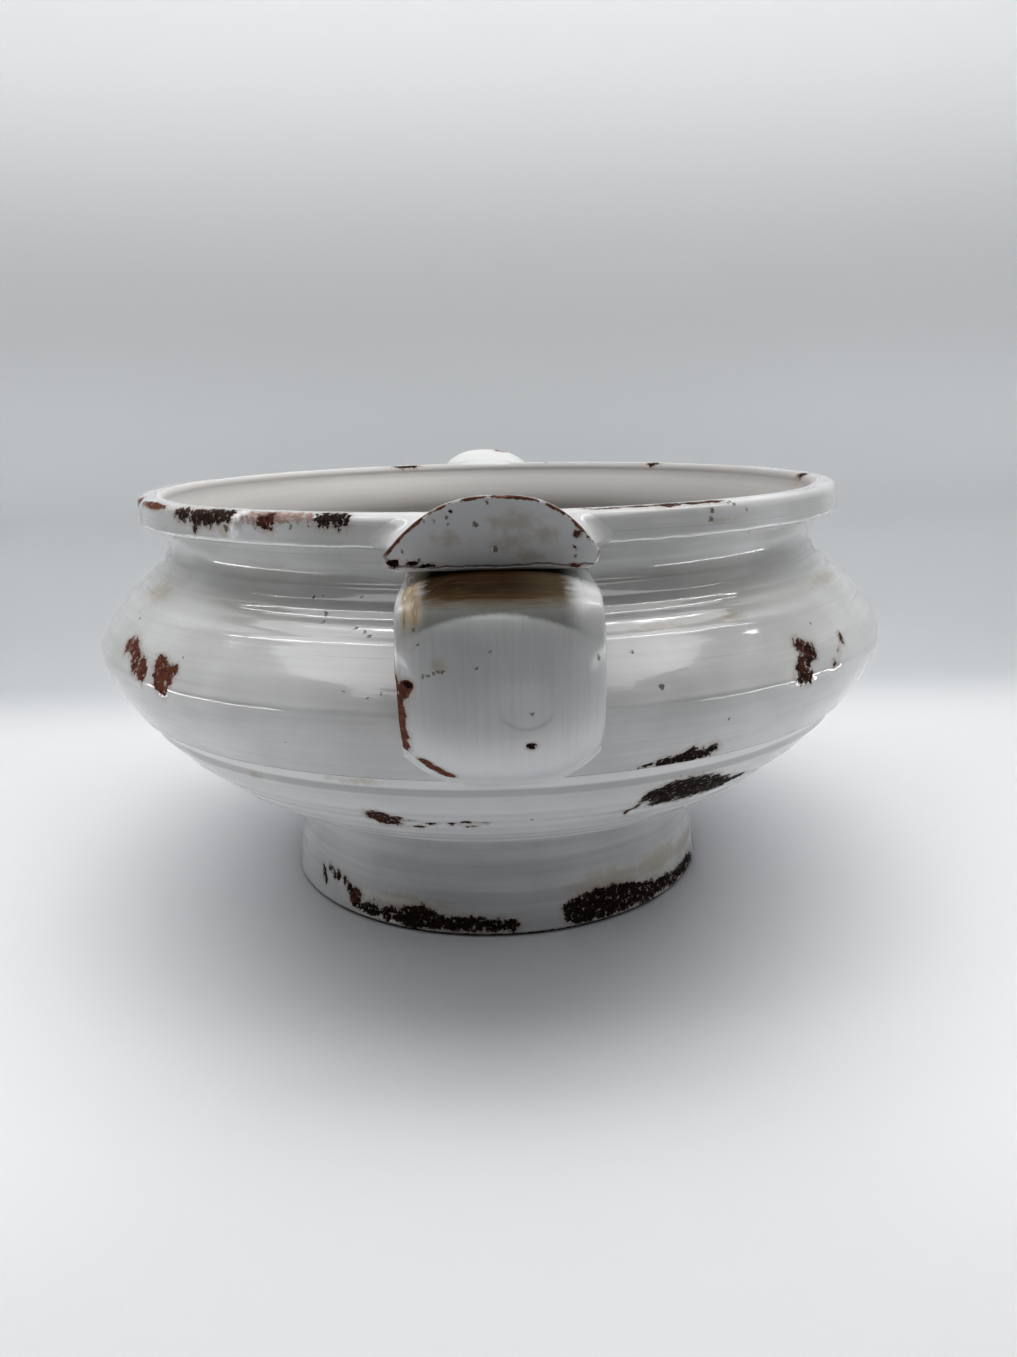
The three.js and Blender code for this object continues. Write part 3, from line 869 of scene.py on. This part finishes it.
def mark_inside(mesh):
    """Keeps on each vertex of a bowl whether it faces the bowl's axis or is on its floor."""
    places, normals = vertex_rows(mesh)
    radius = np.hypot(places[:, 0], places[:, 1])
    outward = (places[:, :2] * normals[:, :2]).sum(1) / np.maximum(radius, 1.0)
    floor = (normals[:, 2] > 0.3) & (radius < RIM_RADIUS - 2 * LIP_THICKNESS)
    keep_on_points(mesh, "inside", (outward < -0.2) | floor)


def dent(mesh, patches, depth, brink=1.5):
    """Presses each patch into a mesh by a depth, over a brink of some millimetres."""
    places, normals = vertex_rows(mesh)
    press = depth * smoothstep(patch_depth(places, patches), -0.2 * brink, 0.8 * brink)
    places -= press[:, None] * normals
    mesh.vertices.foreach_set("co", (places * MM).astype(np.float32).ravel())
    mesh.update()


def lay_wear(mesh, wear):
    """Keeps on each vertex how deep it is inside the patches of each kind, and dents the chips."""
    places, _ = vertex_rows(mesh)
    for kind in ("red", "black", "pale", "stains", "drips"):
        keep_on_points(mesh, kind, patch_depth(places, getattr(wear, kind)))
    dent(mesh, wear.red + wear.black, CHIP_DENT)
    dent(mesh, wear.drips, -DRIP_RISE)


# Glaze

FLECK_SHIFT = (31, 17, 0)
FEWEST_FLECKS = 0.09
# Height of the painted glint, a thin white line along the rim band's lower edge
RIM_GLINT = 136.8
# Where the strap top's brown dirt and painted shadow lie, and the arch where the painted grey shade below
# them ends
DIRT_SHADOW_HALF = 17.0
DIRT_SHADOW_SHIFT = 1.6
DIRT_SHADOW_LOW = 127.4
SHADE_LOW = 126.0
SHADE_ARCH = 0.0125

DARK_CLAY = ((36, 20, 16), (108, 62, 47))
WARM_CLAY = ((84, 50, 39), (138, 90, 70))
BLACK_CLAY = ((20, 13, 11), (60, 43, 36))
PALE_CLAY = ((150, 124, 115), (212, 198, 192))
PLAIN_GLAZE = ((190, 190, 189), (213, 213, 213))
THIN_GLAZE = ((174, 175, 175), (196, 196, 196))
# The white of thick glaze runs, also laid as painted light on a turned band and on a tab's cut end
WHITE_GLAZE = (230, 231, 232)


def speck_depth(n, specks, coords):
    """How many millimetres inside the nearest speck a point is."""
    deepest = -20.0
    for speck in specks:
        radius = math.sqrt(speck.half[0] * speck.half[2])
        deepest = n.most(deepest, n.minus(radius, n.vector("DISTANCE", coords, speck.place)))
    return deepest


def worn_glaze(name, wear, tones=PLAIN_GLAZE, thick=None, band=None, thrown=False, standing=False,
               brushed=0, cut_end=0):
    """Glossy white glaze with chips down to the red clay, stains and pinholes.
    The glaze has run thick and white below a pair of heights; a turned band gets painted shade in its
    hollow and a painted reflection below its upper arris. Thrown pieces carry turning lines, painted
    shade in the neck's hollow and inside, and a painted glint along the rim's lower edge; brushed ones a
    top with dirt and painted shadow under the tab, a painted shadow under the thumb dimple, and upright
    brush marks.
    A standing piece is bare along its lowest edge, widened to stand also for a painted contact shadow; a
    cut end is worn along its arris and its end face is painted lighter. Brushed pieces and cut ends are
    -1 at the front, 1 at the back."""
    material, n = blank_material(name, MM)

    # Noise that makes every outline ragged
    coarse = n.noise(0.16)
    grain = n.noise(0.75, 6, 0.76)
    shift = n.vector("SUBTRACT", n.noise_node(n.place, 0.75, 3, 0.6).outputs[1], (0.5, 0.5, 0.5))
    rough = n.vector("ADD", n.place, n.scaled(shift, 1.82))

    # Flecks of glaze left standing in the chips
    flecks = n.noise(0.6, 5, 0.75, n.vector("ADD", n.place, FLECK_SHIFT))
    bare = 1 if brushed else n.fall(flecks, FEWEST_FLECKS, FEWEST_FLECKS + 0.035)

    def chips(kind, waves, teeth):
        depth = n.muladd(grain, teeth, n.muladd(coarse, waves, n.attribute(kind)))
        return n.times(n.ramp(depth, -0.08, 0.12), bare), depth

    red, red_depth = chips("red", 3 if brushed else 4, 3 if brushed else 6)
    black, black_depth = chips("black", 3, 4 if brushed else 6.5)
    pale, _ = chips("pale", 3, 9)
    inside_speck = n.muladd(grain, 2.2, speck_depth(n, wear.specks, rough))
    specks = n.ramp(inside_speck, 0, 0.35, 0, 0.85)
    if standing:
        # Bare clay along the lowest edge, widened to also stand for a painted contact shadow
        black = n.most(black, n.fall(n.muladd(grain, 1.6, n.z), 0.8, 1.3))
    if cut_end:
        red = n.most(red, arris_wear(n, cut_end, grain))

    # Glaze: thick and thin places, turning lines and painted light and shade, then layers of a share and
    # a colour
    grain_way = (0.7, 0.03, 0.03) if brushed else (0.022, 0.022, 0.7)
    lines = n.streaks(grain_way, 4, 0.6)
    tone = n.muladd(lines, 0.42 if thrown or brushed else 0.2, n.noise(0.03, 3))
    surface = n.mix(n.ramp(tone, -0.25, 0.25), *tones)
    layers = []
    if thick:
        layers.append((n.fall(n.z, *thick, 0.85), WHITE_GLAZE))
    if cut_end:
        # Painted light: the tab's cut end face made whiter so that it reads lighter
        lit_end_face = n.ramp(n.times(n.y, cut_end), TAB_END - 2.4, TAB_END - 0.4, 0, 0.5)
        layers.append((lit_end_face, WHITE_GLAZE))
    if band:
        layers += banded(n, grain, *band)
    if thrown:
        inside = n.attribute("inside")
        layers += turned_glaze(n, lines, inside)
    stain_depth = n.muladd(n.noise(0.4, 4, 0.6), 7, n.attribute("stains"))
    layers.append((n.ramp(stain_depth, -1.6, 1.8, 0, 0.42), (158, 140, 100)))
    dirt_and_shadow = 0.0
    if brushed:
        # Painted shadow along the lower edge of the thumb dimple
        from_thumb = n.apart(n.vector("DISTANCE", n.place, THUMB_MARK), THUMB_RADIUS)
        dimple_shadow = n.times(n.fall(from_thumb, 0.1, 0.9, 0.3), n.fall(n.z, 100.5, 104))
        # Dirt and painted shadow on the strap's top under the tab
        dirt_and_shadow, dirt_and_shadow_layers = dirt_and_shadow_top(n, brushed)
        layers += [(dimple_shadow, (128, 128, 128)), *dirt_and_shadow_layers]
    if wear.drips:
        drips = n.attribute("drips")
        layers.append((n.ramp(drips, -0.4, 0.3), (250, 251, 252)))
    near = n.ramp(n.most(red_depth, black_depth), -2.2, 0.2, 0, 0.45)
    pins = n.add("ShaderNodeTexVoronoi", {"Vector": n.place, "Scale": 0.07}, feature="F1").outputs
    pin_size = n.ramp(n.split(pins["Color"])["Y"], 0.5, 1, -0.02, 0.045)
    pinhole = n.fall(n.minus(pins["Distance"], pin_size), -0.004, 0.012, 0.75)
    layers += [(near, (156, 130, 108)), (n.most(pinhole, specks), (82, 66, 46))]

    # Clay under the glaze
    clay = n.noise(0.6, 5, 0.7)
    if thrown:
        clay = n.plus(clay, n.fall(n.x, -100, -35, 0.16))
    clay_tone = n.ramp(clay, -0.08, 0.3)
    red_clay = WARM_CLAY if brushed or cut_end else DARK_CLAY
    for chip, clays in ((pale, PALE_CLAY), (red, red_clay), (black, BLACK_CLAY)):
        layers.append((chip, n.mix(clay_tone, *clays)))
    for share, tint in layers:
        surface = n.mix(share, surface, tint)
    chip = n.most(n.most(red, black), pale)

    # Relief in millimetres: the glaze's soft waves and lines, and the step down into each chip
    relief = n.times(n.noise(0.05, 1), 0.3)
    relief = n.muladd(n.noise(0.25, 1), 0.03, relief)
    if thrown:
        relief = n.muladd(n.streaks((0.03, 0.03, 0.5)), 0.05, relief)
    if brushed:
        relief = n.muladd(n.streaks((0.9, 0.05, 0.05)), 0.06, relief)
    relief = n.muladd(n.most(chip, n.times(specks, 0.6)), -0.3, relief)
    relief = n.muladd(n.times(clay, chip), 0.5, relief)
    if wear.drips:
        relief = n.muladd(n.ramp(drips, -0.4, 1.4), 1.2, relief)
    bump = n.add("ShaderNodeBump", {"Strength": 1, "Distance": MM, "Height": relief})

    # Chips and the strap top's dirt and painted shade are less glossy
    dull = n.most(chip, dirt_and_shadow)
    if thrown:
        dull = n.most(dull, n.times(inside, 0.7))
    shader = n.add("ShaderNodeBsdfPrincipled", {
        "Base Color": surface,
        "Roughness": n.muladd(dull, 0.5, 0.18 if brushed else 0.09),
        "Specular IOR Level": n.muladd(dull, -0.48, 0.5),
        "Normal": bump.outputs[0],
    })
    n.add("ShaderNodeOutputMaterial", {"Surface": shader.outputs[0]})
    return material


def turned_glaze(n, lines, inside):
    """Layers of a thrown piece: painted shade and grime in the hollow of the neck, scratches round the
    upper part, a painted glint as a thin white line along the rim's lower edge, and painted shade inside,
    lighter to the left."""
    # Painted shade with a greenish tint in the hollow of the neck under the rim, together with grime
    hollow = n.times(n.ramp(n.z, 112, 117), n.fall(n.z, 124, 132))
    grime_and_shade = n.ramp(n.plus(lines, n.noise(0.02)), -0.1, 0.3, 0, 0.55)
    scratch = n.streaks((0.014, 0.014, 1.8), 3, 0.6)
    scratched = n.times(n.ramp(scratch, 0.12, 0.22, 0, 0.45), n.ramp(n.z, 98, 108))
    # Painted glint: a thin wavy white line along the rim band's lower edge
    edge = n.apart(n.muladd(n.noise(0.09, 4, 0.6), 2, n.z), RIM_GLINT)
    # Painted shade inside the bowl, lighter to the left and darker to the right
    inner = n.mix(n.ramp(n.x, -80, 30), (187, 184, 181), (158, 155, 153))
    return [
        (n.times(hollow, grime_and_shade), (176, 177, 162)), (scratched, (142, 142, 132)),
        (n.fall(edge, 0.15, 0.45, 0.9), (252, 252, 252)), (n.times(inside, 0.95), inner),
    ]


def banded(n, grain, low, high):
    """Layers over a turned band between two arrises: painted shade in its hollow, a painted reflection
    as white towards the upper arris, and a thin line of dirt along that."""
    middle = low + 0.35 * (high - low)
    # Painted shade in the band's hollow
    hollow = n.times(n.ramp(n.z, low, low + 0.8), n.fall(n.z, middle - 0.3, middle + 0.5, 0.55))
    # Painted reflection: white below the band's upper arris
    reflection_band = n.times(n.ramp(n.z, middle, middle + 0.8), n.fall(n.z, high - 0.6, high, 0.85))
    line = n.ramp(n.minus(n.muladd(grain, 0.9, 0.3), n.apart(n.z, high - 0.1)), -0.15, 0.15, 0, 0.6)
    return [(hollow, (160, 161, 160)), (reflection_band, WHITE_GLAZE), (line, (112, 110, 102))]


def arris_wear(n, facing, grain):
    """Clay showing along the arris of a tab's cut end, and a thin line above its lower edge."""
    bite = n.muladd(n.noise(0.22, 4, 0.7), 2.2, 0.34)
    rubbed = n.ramp(n.minus(bite, n.apart(n.attribute("edge_mm"), 0.2)), -0.05, 0.15)
    rubbed = n.times(rubbed, n.ramp(n.z, TAB_UNDERSIDE + 2, TAB_UNDERSIDE + 5))
    wave = n.muladd(n.streaks((0.12, 0, 0)), 2.4, TAB_UNDERSIDE + 1.1)
    line = n.ramp(n.minus(n.muladd(grain, 0.6, 0.26), n.apart(n.z, wave)), -0.1, 0.1)
    face = n.ramp(n.times(n.y, facing), TAB_END - 0.5, TAB_END - 0.1, 0, 0.7)
    return n.most(rubbed, n.times(line, face))


def dirt_and_shadow_top(n, facing):
    """Brown streaks of dirt across the top of a strap, where the tab keeps it from being wiped, darkened
    towards the tab as painted shadow, over a painted grey shade that ends in an arch, and a tan run at
    the left of them. Returns the share of dirt and painted shade, and its layers."""
    across = n.muladd(n.x, facing, DIRT_SHADOW_SHIFT)
    ragged = n.noise(0.35, 5, 0.7)
    aside = n.muladd(ragged, 3, n.absolute(across))
    arch = n.muladd(ragged, 1.2, n.muladd(n.times(across, across), SHADE_ARCH, n.z))
    # Painted shade: a grey arch below the brown, where the tab darkens the strap's bend
    shade = n.times(n.ramp(arch, SHADE_LOW - 0.7, SHADE_LOW + 0.7), n.fall(aside, 15, 23, 0.9))
    runs = n.streaks((0.8, 0.12, 0.12), 4, 0.65)
    beside = n.minus(3.6, n.apart(across, DIRT_SHADOW_HALF + 2.6))
    lower = n.ramp(n.muladd(runs, 12, n.z), 121.5, 124.5, 0, 0.95)
    tan = n.times(n.ramp(n.muladd(runs, 6, beside), 0, 2.4), lower)
    tans = n.mix(n.ramp(runs, -0.1, 0.2), (164, 145, 114), (108, 86, 56))
    # Brown dirt under the tab, darkening towards the tab as painted shadow
    streaks = n.streaks((0.04, 0.6, 0.9), 5, 0.7)
    height = n.muladd(streaks, 4, n.minus(n.z, DIRT_SHADOW_LOW))
    sides = n.fall(n.muladd(streaks, 6, aside), DIRT_SHADOW_HALF - 1.6, DIRT_SHADOW_HALF + 2.6)
    dirt_and_shadow = n.times(n.ramp(height, -1.4, 2), sides)
    brown = n.mix(n.ramp(height, 0, 4.5), (76, 58, 32), (26, 13, 2))
    fine = n.streaks((0.05, 1.6, 2.2), 3, 0.6)
    brown = n.mix(n.ramp(fine, 0, 0.2, 0, 0.35), brown, (82, 60, 32))
    brown = n.mix(n.fall(across, -16, -2, 0.25), brown, (100, 88, 66))
    return n.most(dirt_and_shadow, shade), [(shade, (106, 107, 103)), (tan, tans), (dirt_and_shadow, brown)]


# Assembly

def turned_mesh(mesh, name):
    """The same mesh half a turn round the bowl."""
    copy = mesh.copy()
    copy.name = name
    copy.transform(Matrix.Rotation(math.pi, 4, "Z"))
    return copy


def add_piece(mesh, node, wear, **look):
    """Puts a worn mesh in the scene in place of a CAD node."""
    lay_wear(mesh, wear)
    mesh.materials.clear()
    mesh.materials.append(worn_glaze(mesh.name + "_glaze", wear, **look))
    piece = placed(mesh.name, mesh)
    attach(piece, BODY)
    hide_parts(node)


def build_bowl():
    throw = thrown_tree()
    bowl = thrown_mesh("glazed_bowl", bowl_profile(fine=0.9, coarse=2.6), throw, sides=336, wobble=0.7)
    foot = thrown_mesh("glazed_foot_ring", foot_profile(step=0.8), throw, sides=300, wobble=0.6)
    mark_inside(bowl)
    add_piece(bowl, "bowl_body", BOWL_WEAR, thick=(56, 78), band=(BAND_LOW[1], BAND_HIGH[1]), thrown=True)
    add_piece(foot, "foot_ring", FOOT_WEAR, tones=THIN_GLAZE, thrown=True, standing=True)


def build_handles():
    strap = ring_mesh("front_strap", strap_rings())
    back_strap = turned_mesh(strap, "back_strap")
    tab = ring_mesh("front_tab", *tab_rings())
    back_tab = turned_mesh(tab, "back_tab")
    dent(strap, [STRAP_DIMPLE], STRAP_DIMPLE_DEPTH, brink=7.0)
    pulled = {"tones": THIN_GLAZE, "thick": (84, 104)}
    add_piece(strap, "front_handle_strap", STRAP_WEAR, brushed=-1, **pulled)
    add_piece(back_strap, "back_handle_strap", BACK_STRAP_WEAR, brushed=1, **pulled)
    add_piece(tab, "front_thumb_tab", TAB_WEAR, cut_end=-1)
    add_piece(back_tab, "back_thumb_tab", BACK_TAB_WEAR, cut_end=1)


# Studio

SWEEP_REACH = 2.0
SWEEP_BEND = 0.13
SWEEP_RADIUS = 0.11
# Painted shade up the backdrop: heights in metres where each grey starts and is full, and the grey
SWEEP_GREYS = (
    (0.0005, 0.02, (186, 189, 191)), (0.03, 0.15, (214, 217, 219)),
    (0.16, 0.23, (202, 204, 206)), (0.24, 0.37, (228, 230, 231)),
)


def sweep_paper():
    """White paper on the floor that greys as it climbs and pales again high up; these greys, and the
    floor darker towards the back and the front, are painted shade. From behind it is not seen at all."""
    material, n = blank_material("sweep_paper", 1.0)
    # Painted shade: the floor darker towards the back and the front
    shade = n.mix(n.ramp(n.y, -0.12, 0.1), (229, 230, 232), (213, 214, 216))
    shade = n.mix(n.fall(n.y, -0.25, -0.16), shade, (217, 218, 220))
    # Painted shade and light: the backdrop greys as it climbs and pales again high up
    for low, high, grey in SWEEP_GREYS:
        shade = n.mix(n.ramp(n.z, low, high), shade, grey)
    matt = {"Base Color": shade, "Roughness": 0.7, "Specular IOR Level": 0.0}
    paper = n.add("ShaderNodeBsdfPrincipled", matt).outputs[0]
    back = n.add("ShaderNodeNewGeometry").outputs["Backfacing"]
    nothing = n.add("ShaderNodeBsdfTransparent").outputs[0]
    seen = n.add("ShaderNodeMixShader", (back, paper, nothing)).outputs[0]
    n.add("ShaderNodeOutputMaterial", {"Surface": seen})
    return material


def build_stage():
    """A pale floor that sweeps up into a grey backdrop, and the floor behind that."""
    turns = np.linspace(0, math.pi / 2, 24)
    curve = SWEEP_RADIUS * np.column_stack([np.sin(turns), 1 - np.cos(turns)]) + (SWEEP_BEND, 0)
    top = (SWEEP_BEND + SWEEP_RADIUS, SWEEP_REACH)
    profile = [(-SWEEP_REACH, 0), *curve, top, (SWEEP_REACH, 0)]
    last = len(profile) - 1
    steps = [(i, i + 1) for i in range(last - 1)] + [(1, last)]
    points = [(side * SWEEP_REACH, y, z) for y, z in profile for side in (-1, 1)]
    faces = [(2 * i, 2 * i + 1, 2 * j + 1, 2 * j) for i, j in steps]
    mesh = smooth_mesh("sweep", points, faces)
    mesh.materials.append(sweep_paper())
    sweep = placed("sweep", mesh)


def area_light(name, place, size, radiance, target=None, spin=0.0, diffuse=True, glossy=True):
    """A rectangular lamp, unseen by the camera itself, that points at a target or straight down, spun
    about Z. It may light surfaces without a reflection, or only be reflected."""
    data = bpy.data.lights.new(name, "AREA")
    data.shape = "RECTANGLE"
    data.size, data.size_y = size
    data.energy = math.pi * size[0] * size[1] * radiance
    light = placed(name, data)
    light.location = place
    if target is None:
        light.rotation_euler = (0.0, 0.0, math.radians(spin))
    else:
        light.rotation_euler = (Vector(target) - Vector(place)).to_track_quat("-Z", "Y").to_euler()
    light.visible_camera = False
    light.visible_diffuse = diffuse
    light.visible_glossy = glossy


def build_light():
    """A soft ceiling, thin strips that draw glints, and a room that is dark on the camera's side."""
    world = bpy.data.worlds.new("studio")
    world.use_nodes = True
    n = Nodes(world.node_tree)
    _, y, z = n.split(n.add("ShaderNodeTexCoord").outputs["Generated"])
    glow = n.ramp(z, 0.0, 0.8, 0.4, 0.45)
    front = n.fall(y, -0.5, -0.05, 0.97)
    dimming = n.minus(1.0, n.times(front, n.fall(z, 0.6, 0.95)))
    background = world.node_tree.nodes["Background"]
    background.inputs["Color"].default_value = colour(250, 251, 252)
    n.feed(background.inputs["Strength"], n.times(glow, dimming))
    bpy.context.scene.world = world
    area_light("ceiling", (0.0, 0.02, 0.75), (1.3, 0.42), 4.5, glossy=False)
    area_light("sheen", (0.0, -0.35, 1.0), (1.8, 1.5), 3.0, diffuse=False)
    for side, name in ((-1, "left"), (1, "right")):
        low, high = (0.46 * side, -0.15, 0.02), (0.515 * side, -0.07, 0.72)
        area_light(name + "_strip", low, (0.42, 0.01), 18.0, target=(0.0, -0.05, 0.1))
        area_light(name + "_top_strip", high, (0.72, 0.018), 28.0, spin=24.0 * side, diffuse=False)


def build_camera():
    yaw, pitch, roll = (math.radians(angle) for angle in CAMERA_ANGLES)
    data = bpy.data.cameras.new("camera")
    data.sensor_fit = "VERTICAL"
    data.sensor_height = SENSOR
    data.lens = SENSOR * FOCAL_PIXELS / PICTURE_HEIGHT
    data.clip_start = 0.01
    camera = placed("camera", data)
    aim = Matrix.Rotation(-yaw, 4, "Z") @ Matrix.Rotation(math.pi / 2 - pitch, 4, "X")
    turn = aim @ Matrix.Rotation(roll, 4, "Z")
    camera.matrix_world = Matrix.Translation(Vector(CAMERA_PLACE) * MM) @ turn
    bpy.context.scene.camera = camera


build_camera()
build_light()
build_stage()
build_bowl()
build_handles()
bpy.context.scene.view_settings.view_transform = "Standard"
